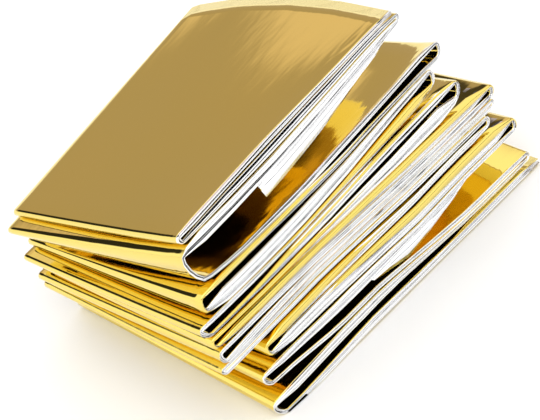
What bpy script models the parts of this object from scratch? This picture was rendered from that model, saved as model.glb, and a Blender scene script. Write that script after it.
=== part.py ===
# An emergency foil blanket, folded lengthwise into a strip and then to and fro into a fanned stack.
# Metres, Z up. X runs along the panels, -Y is the side where the layers have sprung apart.
import math

import bpy

MM = 0.001
SCALE = 0.958
WIDTH = 93.0
STATIONS = (0.0, 0.05, 0.15, 0.3, 0.46, 0.62, 0.77, 0.88, 0.95, 1.0)
STEPS_ALONG = 6
STEPS_ROUND = 6
LEAST_GAP = 0.6
FAR_THICKNESS = 1.35
LARGEST_TURN = 3.2
FLARE = 0.93
TOP_PACKET = 3
CORNER_START = 0.88
CORNER_CUT = 3.0
END_BULGE = 3.2
BOTTOM_BULGE = 1.0
ARCH = 2.2

# One row for each panel from the top down: height of its middle above the ground at the left
# and right end of the near side, then of the far side, its thickness at the near side, how far
# its near edge stands in, and the size of its waves (mm before SCALE).
PANELS = (
    # near_left, near_right, far_left, far_right, thick, inset, wave
    (82.1, 90.2, 48.2, 62.0, 2.0, 0.4, 0.00),
    (79.6, 88.0, 46.4, 60.1, 1.8, 1.0, 0.10),
    (76.8, 85.4, 44.4, 57.7, 2.4, 0.0, 0.15),
    (63.4, 70.6, 41.9, 45.2, 1.6, 0.6, 0.25),
    (60.3, 65.6, 35.9, 40.2, 2.0, 0.3, 0.15),
    (55.2, 63.2, 34.0, 38.2, 2.2, 0.0, 0.10),
    (51.6, 60.9, 32.1, 36.2, 1.5, 0.9, 0.15),
    (47.4, 52.9, 30.1, 31.0, 1.6, 0.2, 0.20),
    (44.5, 49.2, 27.4, 28.6, 1.5, 0.8, 0.10),
    (41.4, 41.0, 25.5, 24.6, 1.7, 0.3, 0.20),
    (38.6, 37.4, 22.6, 22.4, 1.6, 0.0, 0.10),
    (35.9, 34.9, 20.6, 20.4, 1.4, 0.5, 0.10),
    (33.6, 32.8, 18.3, 18.2, 1.4, 1.0, 0.10),
    (31.2, 30.5, 16.3, 16.2, 1.8, 0.0, 0.15),
    (28.4, 28.4, 13.4, 14.0, 1.5, 1.1, 0.15),
    (24.4, 23.2, 11.4, 11.4, 2.0, 0.2, 0.20),
    (20.2, 20.6, 9.4, 9.3, 1.9, 0.0, 0.15),
    (15.0, 5.9, 7.4, 5.2, 1.4, 0.7, 0.25),
    (6.5, 3.6, 2.9, 3.0, 1.9, 0.2, 0.00),
    (0.8, 0.8, 0.8, 0.8, 1.4, 0.9, 0.00),
)

# One row for each end, in the order the strip runs: the open end at the top, the folds that
# join one panel to the next, right and left by turns, and the open end at the bottom.
ENDS = (
    # near_x, far_x
    (83.8, 82.5),
    (-9.7, -6.4),
    (86.2, 84.5),
    (-11.6, -11.0),
    (97.6, 91.0),
    (-11.9, -6.1),
    (91.1, 88.0),
    (-15.6, -9.9),
    (99.5, 95.0),
    (-14.0, -7.0),
    (111.3, 106.0),
    (-12.3, -8.1),
    (110.7, 105.0),
    (-13.2, -7.4),
    (104.5, 100.0),
    (2.6, 5.0),
    (116.0, 110.0),
    (-2.3, 0.6),
    (118.6, 113.0),
    (-2.2, 0.3),
    (120.0, 114.0),
)


def blend(near, far, share):
    """A value between the near side (share 0) and the far side (share 1)."""
    return near + (far - near) * share


def panel_thickness(index, share):
    return blend(PANELS[index][4], FAR_THICKNESS, min(1.0, share * 1.4))


def end_bulge(index, share):
    """How far the right ends bow out: the top packet's, less its soft far corner, and the bottom's."""
    if index == len(PANELS) - 1:
        return BOTTOM_BULGE * math.sin(math.pi * share)
    if index >= TOP_PACKET:
        return 0.0
    corner = max(0.0, (share - CORNER_START) / (1.0 - CORNER_START))
    return END_BULGE * math.sin(math.pi * share) - CORNER_CUT * corner ** 2


def arch(index, along, share):
    """The springy rise in the middle of the top packet, toward its right end."""
    if index >= TOP_PACKET:
        return 0.0
    return ARCH * math.sin(math.pi * share) * along


def wave(index, along, share):
    """A slight waviness that dies away toward the far side and toward both ends."""
    size = PANELS[index][6] * (1.0 - share) ** 1.5
    return size * math.sin(math.pi * along) * math.sin(2.2 * math.pi * along + 1.7 * index)


def panel_points(index, share):
    """Middle line of one panel, left to right, as x and height at one station across."""
    near_left, near_right, far_left, far_right = PANELS[index][:4]
    left_end = ENDS[index + 1] if index % 2 == 0 else ENDS[index]
    right_end = ENDS[index] if index % 2 == 0 else ENDS[index + 1]
    rise = share ** FLARE
    on_ground = index == len(PANELS) - 1
    left_x = blend(left_end[0], left_end[1], share)
    right_x = blend(right_end[0], right_end[1], share) + end_bulge(index, share)
    points = []
    for step in range(STEPS_ALONG + 1):
        along = step / STEPS_ALONG
        near = blend(near_left, near_right, along)
        far = blend(far_left, far_right, along)
        height = blend(near, far, rise) + wave(index, along, share) + arch(index, along, share)
        if on_ground:
            height = panel_thickness(index, share) / 2
        points.append([blend(left_x, right_x, along), height])
    return points


def height_at(points, x):
    """Height of a middle line at one x, level beyond its ends."""
    if x <= points[0][0]:
        return points[0][1]
    for before, after in zip(points, points[1:]):
        if x <= after[0]:
            return blend(before[1], after[1], (x - before[0]) / (after[0] - before[0]))
    return points[-1][1]


def settled_panels(share):
    """All panels at one station, each lifted clear of the one below it."""
    panels = [panel_points(index, share) for index in range(len(PANELS))]
    for index in range(len(PANELS) - 2, -1, -1):
        clear = (panel_thickness(index, share) + panel_thickness(index + 1, share)) / 2 + LEAST_GAP
        below = panels[index + 1]
        corners = [x for x, height in below]
        for point in panels[index]:
            point[1] = max(point[1], height_at(below, point[0]) + clear)
        for x in corners:
            short = height_at(below, x) + clear - height_at(panels[index], x)
            if short > 0 and panels[index][0][0] < x < panels[index][-1][0]:
                for point in panels[index]:
                    if abs(point[0] - x) < 20:
                        point[1] += short
    return panels


def turn_points(upper, lower, nose, outward, share, index):
    """The rounded turn from one panel to the one it joins, as x, height and thickness."""
    thick = (panel_thickness(index, share) + panel_thickness(index + 1, share)) / 2
    half = (upper - lower) / 2
    depth = min(half, LARGEST_TURN)
    points = []
    for step in range(STEPS_ROUND + 1):
        angle = math.pi * step / STEPS_ROUND
        bulge = math.sin(angle) ** (depth / half)
        rise = math.cos(angle)
        x = nose - outward * (thick / 2 + depth * (1.0 - bulge))
        points.append((x, (upper + lower) / 2 + half * rise, thick))
    return points


def middle_line(share):
    """The whole to-and-fro line at one station: x, height and thickness of each point."""
    panels = settled_panels(share)
    line = []
    for index, points in enumerate(panels):
        leftward = index % 2 == 0
        run = list(reversed(points)) if leftward else points
        thick = panel_thickness(index, share)
        first_margin = 0.0 if index == 0 else turn_depth(panels, index - 1, share)
        last_margin = 0.0 if index == len(panels) - 1 else turn_depth(panels, index, share)
        start = run[0][0] + (-first_margin if leftward else first_margin)
        stop = run[-1][0] + (last_margin if leftward else -last_margin)
        for step in range(STEPS_ALONG + 1):
            x = blend(start, stop, step / STEPS_ALONG)
            line.append((x, height_at(points, x), thick))
        if index < len(panels) - 1:
            x_nose = blend(ENDS[index + 1][0], ENDS[index + 1][1], share)
            if not leftward:
                x_nose += end_bulge(index, share)
            upper = height_at(points, stop)
            lower = height_at(panels[index + 1], stop)
            turn = turn_points(upper, lower, x_nose, -1.0 if leftward else 1.0, share, index)
            line.extend(turn[1:-1])
    return line


def turn_depth(panels, index, share):
    """How far in from its end a panel gives way to the rounded turn."""
    end = panels[index][0] if index % 2 == 0 else panels[index][-1]
    half = (end[1] - height_at(panels[index + 1], end[0])) / 2
    thick = (panel_thickness(index, share) + panel_thickness(index + 1, share)) / 2
    return thick / 2 + min(half, LARGEST_TURN)


def offset_loops(line):
    """The two sides of the strip at one station."""
    first_side = []
    second_side = []
    for index, (x, height, thick) in enumerate(line):
        before = line[max(index - 1, 0)]
        after = line[min(index + 1, len(line) - 1)]
        run_x = after[0] - before[0]
        run_z = after[1] - before[1]
        length = math.hypot(run_x, run_z)
        normal_x = -run_z / length
        normal_z = run_x / length
        first_side.append((x + normal_x * thick / 2, height + normal_z * thick / 2))
        second_side.append((x - normal_x * thick / 2, height - normal_z * thick / 2))
    return first_side, second_side


def inset_of(place, count):
    """How far the near edge stands in at one point of the line, eased from panel to panel."""
    position = place / (count - 1) * (len(PANELS) - 1)
    index = min(int(position), len(PANELS) - 2)
    return blend(PANELS[index][5], PANELS[index + 1][5], position - index)


def build_blanket():
    vertices = []
    faces = []
    rows = []
    for share in STATIONS:
        line = middle_line(share)
        first_side, second_side = offset_loops(line)
        ring = first_side + list(reversed(second_side))
        count = len(line)
        insets = [inset_of(place, count) for place in range(count)]
        insets = insets + list(reversed(insets))
        row = []
        for (x, height), inset in zip(ring, insets):
            across = WIDTH * share + inset * (1.0 - share)
            row.append(len(vertices))
            vertices.append((x, across, height))
        rows.append(row)
    size = len(rows[0])
    for near, far in zip(rows, rows[1:]):
        for index in range(size):
            following = (index + 1) % size
            faces.append((near[index], near[following], far[following], far[index]))
    for row, flip in ((rows[0], False), (rows[-1], True)):
        for index in range(size // 2 - 1):
            quad = (row[index], row[index + 1], row[size - 2 - index], row[size - 1 - index])
            faces.append(quad if flip else tuple(reversed(quad)))
    return vertices, faces


def place_on_ground(vertices):
    """Scales to metres, with the lowest point on the ground and the middle over the origin."""
    lows = [min(vertex[axis] for vertex in vertices) for axis in range(3)]
    highs = [max(vertex[axis] for vertex in vertices) for axis in range(3)]
    shift = ((lows[0] + highs[0]) / 2, (lows[1] + highs[1]) / 2, lows[2])
    factor = SCALE * MM
    return [tuple((vertex[axis] - shift[axis]) * factor for axis in range(3)) for vertex in vertices]


def gold_film():
    material = bpy.data.materials.new("gold_film")
    material.use_nodes = True
    shader = material.node_tree.nodes["Principled BSDF"]
    shader.inputs["Base Color"].default_value = (0.83, 0.6, 0.2, 1.0)
    shader.inputs["Metallic"].default_value = 1.0
    shader.inputs["Roughness"].default_value = 0.15
    return material


for thing in list(bpy.data.objects):
    bpy.data.objects.remove(thing, do_unlink=True)

points, polygons = build_blanket()
mesh = bpy.data.meshes.new("foil_blanket")
mesh.from_pydata(place_on_ground(points), [], polygons)
mesh.update()
mesh.materials.append(gold_film())
blanket = bpy.data.objects.new("foil_blanket", mesh)
bpy.context.scene.collection.objects.link(blanket)
for polygon in mesh.polygons:
    polygon.use_smooth = True
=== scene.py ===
import math

import bpy
import numpy as np
from mathutils import Matrix, Vector


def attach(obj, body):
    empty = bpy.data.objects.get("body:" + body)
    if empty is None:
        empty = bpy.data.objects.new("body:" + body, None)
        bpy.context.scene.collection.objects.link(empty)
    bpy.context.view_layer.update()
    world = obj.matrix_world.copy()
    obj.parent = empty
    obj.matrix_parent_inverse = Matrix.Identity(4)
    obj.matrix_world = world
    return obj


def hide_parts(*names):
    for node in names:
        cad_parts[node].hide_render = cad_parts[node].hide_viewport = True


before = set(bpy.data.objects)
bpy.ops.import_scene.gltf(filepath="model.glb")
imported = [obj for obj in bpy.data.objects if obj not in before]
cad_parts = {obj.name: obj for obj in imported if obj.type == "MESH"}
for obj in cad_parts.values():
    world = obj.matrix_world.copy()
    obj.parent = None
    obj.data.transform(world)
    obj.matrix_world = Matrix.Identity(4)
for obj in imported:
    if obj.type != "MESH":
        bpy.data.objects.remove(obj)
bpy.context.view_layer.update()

# Sizes of the folding, in mm before SCALE
SCALE = 0.958
MM = 0.001
WIDTH = 93.0
MIDDLE_X = 52.2
MIDDLE_Y = 46.5
LEAVES = 14
FILM = 0.02
OUTER_GAP = 0.2
OUTER_LIFT = 0.05
LEAST_GAP = 0.12
FAR_THICK = 1.3
TURN_THICK = 1.25
PINCH_LENGTH = 9.0
NEAR_DECAY = 0.16
LARGEST_TURN = 3.2
TURN_SHARE = 0.6
TURN_EXTRA = 0.2
UNDERCUT_POWER = 1.5
NEAR_LIFT = 0.8
LIFT_DECAY = 0.06
LIFT_PLACES = (10.0, 40.0)
FLARE = 0.93
FLARED_PANEL = 3
RIGHT_FLARE = 0.8
FLARE_PLACES = (0.3, 0.8)
FAR_HUMP = 4.0
TOP_PACKET = 3
UNDERCUT_FADE = 0.7
CUT_WIDTH = 0.002
CORNER_START = 0.88
CORNER_CUT = 3.0
END_BULGE = 3.2
ARCH = 2.2
BOTTOM_BULGE = 1.0
STEPS_ALONG = 15
STEPS_ROUND = 6
STATIONS = np.array([0.0, 0.02, 0.05, 0.1, 0.18, 0.27, 0.4, 0.5, 0.62, 0.75, 0.88, 0.96, 1.0])
INNER_ROWS = (0.1, 0.27, 0.5, 0.75)
EDGE_ROW = 0.043
OUTER_ROWS = (0.1, 0.27, 0.5, 0.75, 0.965)
GAP_SHARE = 0.36
LARGEST_GAP = 0.9
LOWEST_GAP = 4.0
SEED = 7
NOSE_STEPS = 4
SETTLE_WIDTH = 22.0

# How open each silver fold stands, as ranges of random shares, and the gaps between the folds
SHUT_FOLD = (0.05, 0.12)
OPEN_FOLD = (0.6, 1.2)
MIDDLE_FOLD = (0.5, 1.1)
SHUT_GAP = (0.02, 0.1)
WIDE_GAP = 1.0
NARROW_GAP = 0.5

# How long the waves along the strip are that vary the folds, gaps, noses, lips and far side
FOLD_WAVE = 17.0
GAP_WAVE = 19.0
NOSE_WAVE = 24.0
LIP_WAVE = 31.0
FAR_WAVE = 60.0

# How far in the folds stand, and how the lip of an outer layer varies
NOSE_BACK = 0.35
SMALL_FOLD = 0.7
SMALL_FOLD_BACK = 1.2
GOLD_EDGE_BACK = 0.8
LIP_BACK = 0.5
LIP_WAVER = 0.45
FAR_BACK = 0.25
LIP_CLEAR = 1.6

# The near rows of an outer layer: how far behind its lip a flat one stands, how far from the
# near side a turned-down one stands, and the share of the edge that the latter covers
LIP_ROWS = (
    # behind_lip, from_near_side, cover
    (0.0, -0.15, 0.85),
    (0.5, -0.35, 0.35),
    (1.1, 0.3, 0.03),
)

# One row for each panel from the top down: height of its middle at six places along the near
# side, which stand at X_PLACES, then at the left and right end of the far side
X_PLACES = (-10.0, 10.0, 30.0, 50.0, 70.0, 90.0)
PANELS = (
    # near_1, near_2, near_3, near_4, near_5, near_6, far_left, far_right
    (82.0, 84.3, 86.4, 88.0, 89.3, 90.0, 48.2, 62.0),
    (79.5, 81.4, 83.1, 85.1, 86.8, 87.8, 46.4, 60.5),
    (76.5, 77.4, 79.1, 81.8, 84.7, 86.4, 44.4, 59.0),
    (63.5, 61.5, 62.3, 64.6, 66.7, 69.2, 41.9, 42.4),
    (59.8, 60.1, 60.4, 61.0, 62.8, 63.9, 35.9, 38.8),
    (53.7, 54.1, 55.2, 57.1, 59.9, 62.3, 34.0, 37.6),
    (49.5, 49.8, 50.6, 52.6, 55.0, 57.4, 32.1, 35.6),
    (45.8, 46.5, 47.8, 49.3, 50.7, 51.6, 30.1, 31.0),
    (43.9, 43.7, 43.7, 44.0, 44.5, 45.7, 27.4, 28.6),
    (40.4, 40.8, 40.9, 40.6, 40.0, 39.9, 25.5, 24.6),
    (37.9, 38.4, 38.5, 37.8, 36.9, 36.5, 22.6, 22.4),
    (33.5, 34.9, 35.7, 35.1, 34.4, 34.0, 20.6, 20.4),
    (30.7, 32.1, 33.2, 32.6, 32.1, 31.9, 18.3, 18.2),
    (30.0, 30.9, 31.7, 31.2, 30.6, 30.8, 16.3, 16.2),
    (26.1, 26.6, 27.2, 27.0, 26.6, 27.6, 13.4, 14.0),
    (21.9, 22.1, 22.5, 22.1, 21.4, 22.4, 11.4, 11.4),
    (18.1, 17.7, 17.2, 17.3, 17.0, 18.3, 9.4, 9.3),
    (13.7, 12.2, 9.7, 10.0, 7.6, 5.5, 7.4, 5.2),
    (5.1, 5.6, 6.7, 7.0, 5.4, 3.8, 2.9, 3.0),
    (0.8, 0.8, 0.8, 0.8, 0.8, 0.8, 0.8, 0.8),
)

# The near edge of each panel: how thick it is at THICK_PLACES, how far it stands in, how wide
# the silver lip before the free layer is, and how much of the edge the gold layer covers
THICK_PLACES = (0.0, 40.0, 80.0)
EDGES = (
    # thick_left, thick_middle, thick_right, inset, lip, gold_left, gold_right
    (1.9, 1.6, 1.1, 0.4, 1.2, 0.0, 0.0),
    (2.2, 3.1, 2.2, 0.9, 0.5, 0.0, 0.0),
    (4.8, 4.0, 2.5, 0.0, 0.5, 0.0, 0.0),
    (1.0, 2.5, 2.2, 0.4, 0.5, 0.0, 0.0),
    (2.2, 2.5, 1.5, 0.3, 0.5, 1.0, 0.0),
    (5.1, 5.0, 2.8, 0.0, 0.5, 0.0, 0.0),
    (1.7, 2.0, 4.2, 0.6, 0.5, 0.0, 1.0),
    (1.4, 3.9, 3.5, 0.1, 0.5, 0.6, 0.3),
    (1.3, 3.4, 5.8, 0.6, 0.5, 1.0, 0.0),
    (2.8, 2.7, 4.0, 0.2, 0.5, 0.9, 0.6),
    (1.6, 2.2, 2.2, 0.0, 0.5, 0.0, 0.0),
    (2.4, 1.8, 1.2, 0.4, 0.5, 0.0, 0.0),
    (1.6, 1.8, 1.6, 0.7, 0.5, 0.0, 0.0),
    (1.2, 1.4, 1.7, 0.0, 0.5, 0.0, 0.0),
    (4.0, 4.2, 2.9, 0.9, 0.5, 1.0, 0.2),
    (4.5, 5.2, 5.6, 0.2, 0.5, 0.0, 0.6),
    (2.5, 3.6, 1.8, 0.0, 0.5, 0.0, 0.0),
    (1.0, 2.1, 1.5, 0.6, 0.5, 0.0, 0.0),
    (3.1, 3.2, 1.9, 0.2, 0.5, 0.0, 0.0),
    (1.2, 3.4, 2.2, -0.4, -0.5, 0.0, 0.0),
)

# Silver flaps: the lowest layer of a panel hangs below its near edge between two places
HANGS = (
    # panel, from_x, middle_x, to_x, deep_at_from, deep_at_middle, deep_at_to
    (2, 20.5, 45.0, 78.0, 5.4, 4.2, 0.3),
    (16, 46.0, 60.0, 84.0, 0.3, 4.8, 0.4),
)

# One row for each end, in the order the strip runs: the open end at the top, the folds that
# join one panel to the next, right and left by turns, and the open end at the bottom. The last
# column is how far the lower panel ends short of the upper one
ENDS = (
    # near_x, far_x, undercut
    (83.8, 82.5, 0.0),
    (-9.7, -6.4, 0.6),
    (86.2, 84.5, 0.5),
    (-11.9, -11.0, 4.4),
    (97.6, 96.0, 0.8),
    (-11.9, -6.1, 0.6),
    (91.8, 91.0, 0.4),
    (-15.0, -9.9, 2.2),
    (100.0, 99.0, 1.2),
    (-13.4, -7.0, 1.0),
    (111.8, 111.0, 0.8),
    (-12.3, -8.1, 0.9),
    (111.2, 110.0, 0.5),
    (-13.2, -7.4, 0.9),
    (107.0, 104.0, 0.0),
    (2.6, 5.0, 1.0),
    (116.5, 114.0, 0.0),
    (-2.3, 0.6, 2.8),
    (118.6, 118.0, 0.0),
    (-2.2, 0.3, 2.2),
    (120.0, 118.0, 0.0),
)

# Camera, as fitted to the corners of the lowest and the top panel in the photograph
CAMERA_AZIMUTH = -33.69
CAMERA_ELEVATION = 40.0
CAMERA_ROLL = -20.23
CAMERA_DISTANCE = 800.0
CAMERA_FOCAL = 2615.9
CAMERA_CENTRE = (60.0, 40.0, 25.0)
CENTRE_SEEN_AT = (300.6, 185.7)
IMAGE_SIZE = (540.0, 420.0)
SENSOR = 36.0

# The film: its two colours on each side, its roughness, and its creases near the open side
GOLD = ((0.87, 0.67, 0.155), (0.82, 0.66, 0.175))
GOLD_ROUGHNESS = 0.06
SILVER = ((0.92, 0.92, 0.92), (0.87, 0.87, 0.88))
SILVER_ROUGHNESS = 0.08
TINT_SCALE = 18.0
CREASE_SCALE = (60.0, 160.0, 160.0)
CREASE_DEEP = 0.0006
CREASED_FROM_Y = -0.043
SMOOTH_FROM_Y = -0.035
CREASED_STRENGTH = 0.5
SMOOTH_STRENGTH = 0.06

# The studio round it: colours, directions, and the ranges over which each part fades in
STUDIO = (1.28, 1.28, 1.28)
WALL_LOW = (0.5, 0.41, 0.35)
WALL_HIGH = (0.87, 0.71, 0.66)
WALL_DIRECTION = (0.74, 0.67, 0.0)
WALL_SPREAD = (0.35, 0.65)
WALL_STEP = (0.19, 0.225)
WALL_TOP = (0.34, 0.6)
JOINT = (0.03, 0.03, 0.03)
JOINT_DIRECTION = (0.42, -0.84, 0.34)
JOINT_SPREAD = (0.3, 0.5)
JOINT_FOOT = (0.27, 0.29)
JOINT_TOP = (0.42, 0.40)
SCREEN_DIRECTION = (-0.17, 0.95, 0.27)
SCREEN_SPREAD = (0.962, 0.98)
CARD = (0.07, 0.06, 0.05)
CARD_DIRECTION = (0.63, 0.72, 0.29)
CARD_SPREAD = (0.98, 0.989)
LAMP_PLACE = (-0.25, -0.45, 0.9)
LAMP_SIZE = 0.7
LAMP_POWER = 2.0
FLOOR_SIZE = 1.0
FLOOR_DROP = 0.0002
FLOOR_COLOUR = (0.95, 0.95, 0.95)
FLOOR_ROUGHNESS = 0.7

dice = np.random.RandomState(SEED)


def blend(a, b, share):
    return a + (b - a) * share


def smooth_noise(places, wavelength):
    """Smooth random values from -1 to 1 along a line of places in mm."""
    count = int((places.max() - places.min()) / wavelength) + 4
    knots = dice.uniform(-1.0, 1.0, count)
    position = (places - places.min()) / wavelength
    index = np.minimum(position.astype(int), count - 2)
    share = position - index
    share = share * share * (3 - 2 * share)
    return knots[index] * (1 - share) + knots[index + 1] * share


def end_bulge(index, share):
    """How far the right ends bow out: the top packet's, less its soft far corner, and the bottom's."""
    if index == len(PANELS) - 1:
        return BOTTOM_BULGE * math.sin(math.pi * share)
    if index >= TOP_PACKET:
        return 0.0
    corner = max(0.0, (share - CORNER_START) / (1.0 - CORNER_START))
    return END_BULGE * math.sin(math.pi * share) - CORNER_CUT * corner ** 2


def panel_ends(index, share):
    left = ENDS[index + 1] if index % 2 == 0 else ENDS[index]
    right = ENDS[index] if index % 2 == 0 else ENDS[index + 1]
    return blend(left[0], left[1], share), blend(right[0], right[1], share) + end_bulge(index, share)


def band_thickness(index, x, left, right, share):
    """How thick the strip is, thinned toward its rounded turns and toward the far side."""
    sizes = EDGES[index][:3]
    near = np.interp(x, THICK_PLACES, sizes)
    from_end = np.minimum(x - left, right - x)
    pinch = np.clip(from_end / PINCH_LENGTH, 0.0, 1.0)
    near = blend(min(TURN_THICK, *sizes), near, pinch * pinch * (3 - 2 * pinch))
    return FAR_THICK + (near - FAR_THICK) * math.exp(-share / NEAR_DECAY)


def panel_height(index, x, along, share):
    near = np.interp(x, X_PLACES, PANELS[index][:6])
    far_left, far_right = PANELS[index][6:]
    flared = index == FLARED_PANEL
    flare = np.interp(along, FLARE_PLACES, (FLARE, RIGHT_FLARE)) if flared else FLARE
    height = blend(near, blend(far_left, far_right, along), share ** flare)
    if flared:
        height = height + FAR_HUMP * np.sin(math.pi * along) * share ** 2
    if index < TOP_PACKET:
        height = height + ARCH * math.sin(math.pi * share) * along
    return height


GRID = np.arange(-20.0, 126.0, 1.0)


def settled(share):
    """Height and thickness of every panel on one grid of x, each panel clear of the next."""
    heights = []
    thicks = []
    for index in range(len(PANELS)):
        left, right = panel_ends(index, share)
        x = np.clip(GRID, left, right)
        along = (x - left) / (right - left)
        heights.append(panel_height(index, x, along, share))
        thicks.append(band_thickness(index, x, left, right, share))
    lift = NEAR_LIFT * math.exp(-share / LIFT_DECAY) * np.interp(GRID, LIFT_PLACES, (0.0, 1.0))
    heights[-1] = thicks[-1] / 2 + lift
    for index in range(len(PANELS) - 2, -1, -1):
        floor = heights[index + 1] + (thicks[index] + thicks[index + 1]) / 2 + LEAST_GAP
        heights[index] = np.maximum(heights[index], floor)
    return heights, thicks


def panel_steps(index, start, stop):
    """Shares of the way along a panel, two of them close together where a flap is cut off."""
    steps = np.linspace(0.0, 1.0, STEPS_ALONG + 1)
    for panel, from_x, *_ in HANGS:
        if panel == index:
            cut = (from_x - start) / (stop - start)
            place = int(cut * STEPS_ALONG)
            steps[place] = cut - CUT_WIDTH
            steps[place + 1] = cut + CUT_WIDTH
    return steps


def middle_line(share):
    """The to-and-fro line at one station: x, height, thickness and panel number of each point."""
    heights, thicks = settled(share)
    line = []
    count = len(PANELS)

    def height(index, x):
        return float(np.interp(x, GRID, heights[index]))

    def thick(index, x):
        return float(np.interp(x, GRID, thicks[index]))

    def turn_sizes(index):
        near_x, far_x, undercut = ENDS[index + 1]
        nose = blend(near_x, far_x, share) + (end_bulge(index, share) if index % 2 else 0.0)
        half = (height(index, nose) - height(index + 1, nose)) / 2
        around = (thick(index, nose) + thick(index + 1, nose)) / 2
        depth = min(TURN_SHARE * half + TURN_EXTRA, LARGEST_TURN)
        return nose, depth, around, undercut * (1.0 - UNDERCUT_FADE * share)

    for index in range(count):
        leftward = index % 2 == 0
        left, right = panel_ends(index, share)
        start = right if leftward else left
        stop = left if leftward else right
        inward = -1.0 if leftward else 1.0
        if index > 0:
            nose, depth, around, undercut = turn_sizes(index - 1)
            start = nose + inward * (around / 2 + depth + undercut)
        if index < count - 1:
            nose, depth, around, undercut = turn_sizes(index)
            stop = nose - inward * (around / 2 + depth)
        for part in panel_steps(index, start, stop):
            x = blend(start, stop, part)
            line.append((x, height(index, x), thick(index, x), index + part * 0.98))
        if index < count - 1:
            upper = height(index, stop)
            lower = height(index + 1, stop - inward * undercut)
            half = (upper - lower) / 2
            for step in range(1, STEPS_ROUND):
                angle = math.pi * step / STEPS_ROUND
                bulge = math.sin(angle) ** (depth / half)
                low = (1.0 - math.cos(angle)) / 2
                x = nose - inward * (around / 2 + depth * (1.0 - bulge) + undercut * low ** UNDERCUT_POWER)
                line.append((x, (upper + lower) / 2 + half * math.cos(angle), around, index + 0.99))
    return line


def middle_surface():
    """Arrays over stations and columns: x, height, normal x, normal height and thickness."""
    lines = [np.array(middle_line(share)) for share in STATIONS]
    grid = np.stack(lines)
    x, z, thick, panel = grid[..., 0], grid[..., 1], grid[..., 2], grid[..., 3]
    run_x = np.gradient(x, axis=1)
    run_z = np.gradient(z, axis=1)
    length = np.hypot(run_x, run_z)
    return x, z, run_z / length, -run_x / length, thick, panel


def eased(values, width):
    """The values along the strip, smoothed over a number of columns."""
    kernel = np.hanning(width)
    return np.convolve(np.pad(values, width // 2, mode="edge"), kernel / kernel.sum(), mode="valid")


def at_share(values, shares):
    """Values of each column at its own share across, read between the stations."""
    columns = np.arange(values.shape[1])
    upper = np.clip(np.searchsorted(STATIONS, shares, side="right"), 1, len(STATIONS) - 1)
    lower = upper - 1
    part = (shares - STATIONS[lower]) / (STATIONS[upper] - STATIONS[lower])
    return values[lower, columns] * (1 - part) + values[upper, columns] * part


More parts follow.
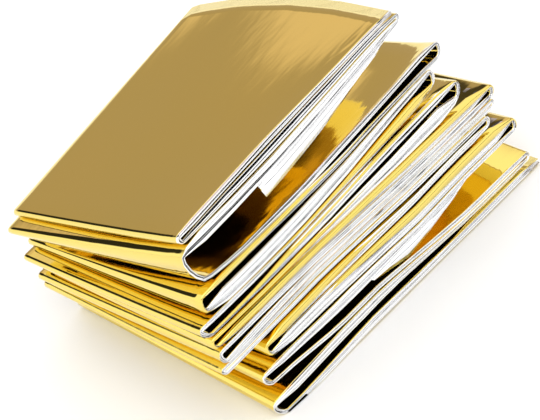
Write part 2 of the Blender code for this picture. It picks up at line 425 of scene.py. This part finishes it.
def build_sheet():
    x, z, normal_x, normal_z, thick, panel = middle_surface()
    columns = x.shape[1]
    path = np.concatenate([[0.0], np.cumsum(np.hypot(np.diff(x[0]), np.diff(z[0])))])
    near_thick = thick[0]
    near_folds = LEAVES // 2 - 1
    panel_number = panel[0].astype(int)

    # How much of the near edge each silver fold takes up: the first, the last and one between
    # them stand open, and the rest lie flat
    open_base = np.zeros((near_folds, len(PANELS)))
    for index in range(len(PANELS)):
        open_base[:, index] = dice.uniform(*SHUT_FOLD, near_folds)
        open_base[0, index] = dice.uniform(*OPEN_FOLD)
        open_base[-1, index] = dice.uniform(*OPEN_FOLD)
        open_base[dice.randint(1, near_folds - 1), index] = dice.uniform(*MIDDLE_FOLD)
    openness = np.zeros((near_folds, columns))
    for fold in range(near_folds):
        raw = open_base[fold][panel_number] * np.clip(1.0 + 0.8 * smooth_noise(path, FOLD_WAVE), 0.1, 2.0)
        openness[fold] = eased(raw, 13)
    # The gaps between the folds: one wide, one narrower and the rest nearly shut, and a wide
    # one under the lowest fold of the lowest panel
    gap_base = dice.uniform(*SHUT_GAP, (near_folds + 1, len(PANELS)))
    for index in range(len(PANELS)):
        gap_base[dice.randint(1, near_folds), index] += WIDE_GAP
        gap_base[dice.randint(1, near_folds), index] += NARROW_GAP
    gap_base[near_folds, -1] = LOWEST_GAP
    gap_share = np.zeros((near_folds + 1, columns))
    for gap in range(near_folds + 1):
        raw = gap_base[gap][panel_number] * np.clip(1.0 + 1.1 * smooth_noise(path, GAP_WAVE), 0.05, 2.0)
        gap_share[gap] = eased(raw, 5) + 0.01
    gap_share = gap_share / gap_share.sum(axis=0)

    edges = np.array(EDGES)[panel_number]
    insets = eased(edges[:, 3], 13)
    lips = eased(edges[:, 4], 7)
    is_even = panel_number % 2 == 0
    rightness = np.clip((x[0] - THICK_PLACES[0]) / (THICK_PLACES[2] - THICK_PLACES[0]), 0.0, 1.0)
    gold_cover = blend(edges[:, 5], edges[:, 6], rightness)
    flap_first = eased(np.where(is_even, gold_cover, 0.0), 7)
    flap_last = eased(np.where(is_even, 0.0, gold_cover), 7)
    hang = np.zeros(columns)
    for index, from_x, middle_x, to_x, *deep in HANGS:
        inside = (panel_number == index) & (x[0] > from_x) & (x[0] < to_x)
        hang = np.where(inside, np.interp(x[0], (from_x, middle_x, to_x), deep), hang)
    hanging = (hang > 0.0).astype(float)
    share_open = openness / openness.sum(axis=0)
    gaps = np.minimum(near_thick * GAP_SHARE, LARGEST_GAP)
    fold_high = share_open * (near_thick - gaps)
    fold_gap = gap_share * gaps
    tops = np.zeros((near_folds, columns))
    cursor = near_thick / 2 - fold_gap[0]
    for fold in range(near_folds):
        tops[fold] = cursor
        cursor = cursor - fold_high[fold] - fold_gap[fold + 1]
    bottoms = tops - fold_high

    # How far in from the near side each fold's nose stands
    noses = np.zeros((near_folds, columns))
    for fold in range(near_folds):
        small = np.clip(1.0 - fold_high[fold] / SMALL_FOLD, 0.0, 1.0)
        noses[fold] = insets + NOSE_BACK * (1.0 + smooth_noise(path, NOSE_WAVE)) + small * SMALL_FOLD_BACK
        noses[fold] = noses[fold] + np.maximum(flap_first, flap_last) * GOLD_EDGE_BACK
    first_edge = insets + LIP_BACK + lips * (1.0 + LIP_WAVER * smooth_noise(path, LIP_WAVE))
    last_edge = insets + LIP_BACK + lips * (1.0 + LIP_WAVER * smooth_noise(path, LIP_WAVE))
    far_ends = [WIDTH - FAR_BACK * (2.0 + smooth_noise(path, FAR_WAVE)) for _ in range(LEAVES // 2)]

    def leaf_offsets(leaf, across):
        """Offset from the middle surface of one leaf at a distance across, for each column."""
        if leaf == 0:
            near = near_thick / 2 + OUTER_LIFT
        elif leaf == LEAVES - 1:
            near = -near_thick / 2 - OUTER_LIFT
        else:
            fold = (leaf - 1) // 2
            near = tops[fold] if leaf % 2 == 1 else bottoms[fold]
        local = at_share(thick, np.clip(across / WIDTH, 0.0, 1.0))
        even = np.full(columns, 0.5 if leaf == 0 else -0.5)
        if 0 < leaf < LEAVES - 1:
            even = (0.5 - OUTER_GAP / local) * (1 - 2 * (leaf - 1) / (LEAVES - 3))
        settle = np.clip(across / SETTLE_WIDTH, 0.0, 1.0)
        settle = settle * settle * (3 - 2 * settle)
        return blend(near * local / near_thick, even * local, settle)

    rows = []

    def add(across, offset):
        share = np.clip(across / WIDTH, 0.0, 1.0)
        px = at_share(x, share) + at_share(normal_x, share) * offset
        pz = at_share(z, share) + at_share(normal_z, share) * offset
        rows.append(np.stack([px, across, pz], axis=1))

    for leaf in range(LEAVES):
        outer = leaf in (0, LEAVES - 1)
        toward_far = leaf % 2 == 0
        far_place = far_ends[leaf // 2] - 0.1
        if outer:
            edge, flap = (first_edge, flap_first) if leaf == 0 else (last_edge, flap_last)
            side = 1.0 if leaf == 0 else -1.0
            here = []
            lowered = hanging if leaf else np.zeros(columns)
            for flat, bent, cover in LIP_ROWS:
                place = blend(edge + flat, bent + insets, np.maximum(flap, lowered))
                drop = side * flap * cover * near_thick
                drop = drop - side * lowered * hang * cover
                here.append((place, leaf_offsets(leaf, place) - drop))
            for row in (EDGE_ROW, *OUTER_ROWS):
                place = np.maximum(WIDTH * row, edge + LIP_CLEAR)
                here.append((place, leaf_offsets(leaf, place)))
            here.append((far_place, leaf_offsets(leaf, far_place)))
        else:
            fold = (leaf - 1) // 2
            near_place = noses[fold] + fold_high[fold] / 2
            shares = (EDGE_ROW, *INNER_ROWS) if leaf in (1, LEAVES - 2) else INNER_ROWS
            places = [near_place] + [np.full(columns, WIDTH * row) for row in shares] + [far_place]
            here = [(place, leaf_offsets(leaf, place)) for place in places]
        if not toward_far:
            here = here[::-1]
        for place, offset in here:
            add(place, offset)
        if leaf == LEAVES - 1:
            break
        if toward_far:
            upper = leaf_offsets(leaf, far_place)
            lower = leaf_offsets(leaf + 1, far_place)
            add(far_ends[leaf // 2] + np.abs(upper - lower) / 2, (upper + lower) / 2)
        else:
            following = leaf // 2
            upper = leaf_offsets(leaf, near_place)
            lower = leaf_offsets(leaf + 1, near_place)
            half = (upper - lower) / 2
            for step in range(1, NOSE_STEPS):
                angle = math.pi * step / NOSE_STEPS
                add(near_place - half * math.sin(angle), (upper + lower) / 2 + half * math.cos(angle))
    return np.stack(rows)


def to_metres(points):
    moved = points - np.array([MIDDLE_X, MIDDLE_Y, 0.0])
    return moved * SCALE * MM


def make_film(name, surface, materials):
    """A closed mesh round the sheet: the gold side, the silver side and the cut edges."""
    count_u, count_s = surface.shape[:2]
    along_s = np.gradient(surface, axis=1)
    along_u = np.gradient(surface, axis=0)
    normal = np.cross(along_u, along_s)
    length = np.linalg.norm(normal, axis=2, keepdims=True)
    normal = normal / np.maximum(length, 1e-12)
    half = FILM / 2
    gold = to_metres((surface + normal * half).reshape(-1, 3))
    silver = to_metres((surface - normal * half).reshape(-1, 3))
    vertices = np.concatenate([gold, silver])
    vertices[:, 2] = np.maximum(vertices[:, 2], 0.0)
    index = np.arange(count_u * count_s).reshape(count_u, count_s)
    a, b, c, d = index[:-1, :-1], index[:-1, 1:], index[1:, 1:], index[1:, :-1]
    front = np.concatenate([
        np.stack([a, d, c], axis=-1).reshape(-1, 3),
        np.stack([a, c, b], axis=-1).reshape(-1, 3),
    ])
    back = front[:, ::-1] + count_u * count_s
    loop = np.concatenate([index[0, :], index[1:, -1], index[-1, -2::-1], index[-2:0:-1, 0]])
    following = np.roll(loop, -1)
    base = count_u * count_s
    rim = np.stack([loop, following, following + base, loop + base], axis=-1)
    faces = front.tolist() + back.tolist() + rim.tolist()
    mesh = bpy.data.meshes.new(name)
    mesh.from_pydata(vertices.tolist(), [], faces)
    slots = np.concatenate([np.zeros(len(front)), np.ones(len(back)), np.ones(len(rim))]).astype(np.int32)
    for material in materials:
        mesh.materials.append(material)
    mesh.polygons.foreach_set("material_index", slots)
    mesh.polygons.foreach_set("use_smooth", np.arange(len(faces)) < len(front) + len(back))
    mesh.update()
    thing = bpy.data.objects.new(name, mesh)
    bpy.context.scene.collection.objects.link(thing)
    return thing


def new_material(name):
    material = bpy.data.materials.new(name)
    material.use_nodes = True
    nodes = material.node_tree.nodes
    return material, nodes, material.node_tree.links, nodes["Principled BSDF"]


def film_material(name, colours, roughness):
    """Mirror film whose tint drifts a little and which is creased near the open side."""
    colour, second = colours
    material, nodes, links, shader = new_material(name)
    shader.inputs["Metallic"].default_value = 1.0
    place = nodes.new("ShaderNodeTexCoord")
    broad = nodes.new("ShaderNodeTexNoise")
    broad.inputs["Scale"].default_value = TINT_SCALE
    broad.inputs["Detail"].default_value = 1.0
    links.new(place.outputs["Object"], broad.inputs["Vector"])
    tint = nodes.new("ShaderNodeMix")
    tint.data_type = "RGBA"
    tint.inputs["A"].default_value = (*colour, 1.0)
    tint.inputs["B"].default_value = (*second, 1.0)
    links.new(broad.outputs["Fac"], tint.inputs["Factor"])
    links.new(tint.outputs["Result"], shader.inputs["Base Color"])
    shader.inputs["Roughness"].default_value = roughness
    stretch = nodes.new("ShaderNodeMapping")
    stretch.inputs["Scale"].default_value = CREASE_SCALE
    links.new(place.outputs["Object"], stretch.inputs["Vector"])
    ripple = nodes.new("ShaderNodeTexNoise")
    ripple.inputs["Scale"].default_value = 1.0
    ripple.inputs["Detail"].default_value = 2.0
    links.new(stretch.outputs["Vector"], ripple.inputs["Vector"])
    parts = nodes.new("ShaderNodeSeparateXYZ")
    links.new(place.outputs["Object"], parts.inputs["Vector"])
    near = nodes.new("ShaderNodeMapRange")
    near.inputs["From Min"].default_value = CREASED_FROM_Y
    near.inputs["From Max"].default_value = SMOOTH_FROM_Y
    near.inputs["To Min"].default_value = CREASED_STRENGTH
    near.inputs["To Max"].default_value = SMOOTH_STRENGTH
    links.new(parts.outputs["Y"], near.inputs["Value"])
    bump = nodes.new("ShaderNodeBump")
    bump.inputs["Distance"].default_value = CREASE_DEEP
    links.new(near.outputs["Result"], bump.inputs["Strength"])
    links.new(ripple.outputs["Fac"], bump.inputs["Height"])
    links.new(bump.outputs["Normal"], shader.inputs["Normal"])
    return material


def set_camera():
    azimuth = math.radians(CAMERA_AZIMUTH)
    elevation = math.radians(CAMERA_ELEVATION)
    roll = math.radians(CAMERA_ROLL)
    back = Vector((
        math.sin(azimuth) * math.cos(elevation),
        -math.cos(azimuth) * math.cos(elevation),
        math.sin(elevation),
    ))
    level = Vector((math.cos(azimuth), math.sin(azimuth), 0.0))
    upright = back.cross(level)
    right = level * math.cos(roll) + upright * math.sin(roll)
    up = upright * math.cos(roll) - level * math.sin(roll)
    centre = Vector(to_metres(np.array([CAMERA_CENTRE]))[0])
    place = centre + back * CAMERA_DISTANCE * SCALE * MM
    off_x = (IMAGE_SIZE[0] / 2 - CENTRE_SEEN_AT[0]) / CAMERA_FOCAL
    off_y = (CENTRE_SEEN_AT[1] - IMAGE_SIZE[1] / 2) / CAMERA_FOCAL
    back = (back - right * off_x - up * off_y).normalized()
    right = up.cross(back).normalized()
    up = back.cross(right)
    camera = bpy.data.objects.new("camera", bpy.data.cameras.new("camera"))
    bpy.context.scene.collection.objects.link(camera)
    turn = Matrix((right, up, back)).transposed().to_4x4()
    camera.matrix_world = Matrix.Translation(place) @ turn
    camera.data.sensor_width = SENSOR
    camera.data.lens = CAMERA_FOCAL / IMAGE_SIZE[0] * SENSOR
    camera.data.clip_start = 0.01
    bpy.context.scene.camera = camera


def set_world():
    """A white studio: a warm grey wall, a thin dark joint, a dark screen and a dark card."""
    world = bpy.data.worlds.new("studio")
    bpy.context.scene.world = world
    world.use_nodes = True
    nodes = world.node_tree.nodes
    links = world.node_tree.links
    place = nodes.new("ShaderNodeTexCoord")
    parts = nodes.new("ShaderNodeSeparateXYZ")
    links.new(place.outputs["Generated"], parts.inputs["Vector"])

    def toward(direction, low, high):
        dot = nodes.new("ShaderNodeVectorMath")
        dot.operation = "DOT_PRODUCT"
        dot.inputs[1].default_value = direction
        links.new(place.outputs["Generated"], dot.inputs[0])
        return ramp(dot.outputs["Value"], low, high)

    def ramp(value, low, high):
        part = nodes.new("ShaderNodeMapRange")
        part.interpolation_type = "SMOOTHSTEP"
        part.inputs["From Min"].default_value = low
        part.inputs["From Max"].default_value = high
        links.new(value, part.inputs["Value"])
        return part.outputs["Result"]

    def mixed(share, a, b):
        mix = nodes.new("ShaderNodeMix")
        mix.data_type = "RGBA"
        links.new(share, mix.inputs["Factor"])
        for socket, value in (("A", a), ("B", b)):
            if isinstance(value, tuple):
                mix.inputs[socket].default_value = (*value, 1.0)
            else:
                links.new(value, mix.inputs[socket])
        return mix.outputs["Result"]

    def product(a, b):
        times = nodes.new("ShaderNodeMath")
        times.operation = "MULTIPLY"
        links.new(a, times.inputs[0])
        links.new(b, times.inputs[1])
        return times.outputs["Value"]

    up = parts.outputs["Z"]
    wall = mixed(ramp(up, *WALL_STEP), WALL_LOW, WALL_HIGH)
    wall = mixed(ramp(up, *WALL_TOP), wall, STUDIO)
    behind = toward(WALL_DIRECTION, *WALL_SPREAD)
    joint = product(ramp(up, *JOINT_FOOT), ramp(up, *JOINT_TOP))
    joint = product(joint, toward(JOINT_DIRECTION, *JOINT_SPREAD))
    colour = mixed(behind, STUDIO, wall)
    colour = mixed(joint, colour, JOINT)
    colour = mixed(toward(SCREEN_DIRECTION, *SCREEN_SPREAD), colour, JOINT)
    colour = mixed(toward(CARD_DIRECTION, *CARD_SPREAD), colour, CARD)
    links.new(colour, nodes["Background"].inputs["Color"])
    nodes["Background"].inputs["Strength"].default_value = 1.0


def make_floor():
    mesh = bpy.data.meshes.new("floor")
    sides = ((-1, -1), (1, -1), (1, 1), (-1, 1))
    corners = [(x * FLOOR_SIZE, y * FLOOR_SIZE, -FLOOR_DROP) for x, y in sides]
    mesh.from_pydata(corners, [], [(0, 1, 2, 3)])
    floor = bpy.data.objects.new("floor", mesh)
    bpy.context.scene.collection.objects.link(floor)
    material, nodes, links, shader = new_material("floor")
    shader.inputs["Base Color"].default_value = (*FLOOR_COLOUR, 1.0)
    shader.inputs["Roughness"].default_value = FLOOR_ROUGHNESS
    mesh.materials.append(material)


def add_lamp():
    """One large soft light, high and to the front."""
    lamp = bpy.data.lights.new("lamp", "AREA")
    lamp.size = LAMP_SIZE
    lamp.energy = LAMP_POWER
    thing = bpy.data.objects.new("lamp", lamp)
    bpy.context.scene.collection.objects.link(thing)
    thing.location = LAMP_PLACE
    thing.rotation_euler = (-Vector(LAMP_PLACE)).to_track_quat("-Z", "Y").to_euler()


set_camera()
set_world()
add_lamp()
make_floor()
gold = film_material("gold_side", GOLD, GOLD_ROUGHNESS)
silver = film_material("silver_side", SILVER, SILVER_ROUGHNESS)
surface = build_sheet()
sheet = make_film("foil_sheet", surface, [gold, silver])
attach(sheet, "root")
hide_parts("foil_blanket")
bpy.context.scene.view_settings.view_transform = "Standard"
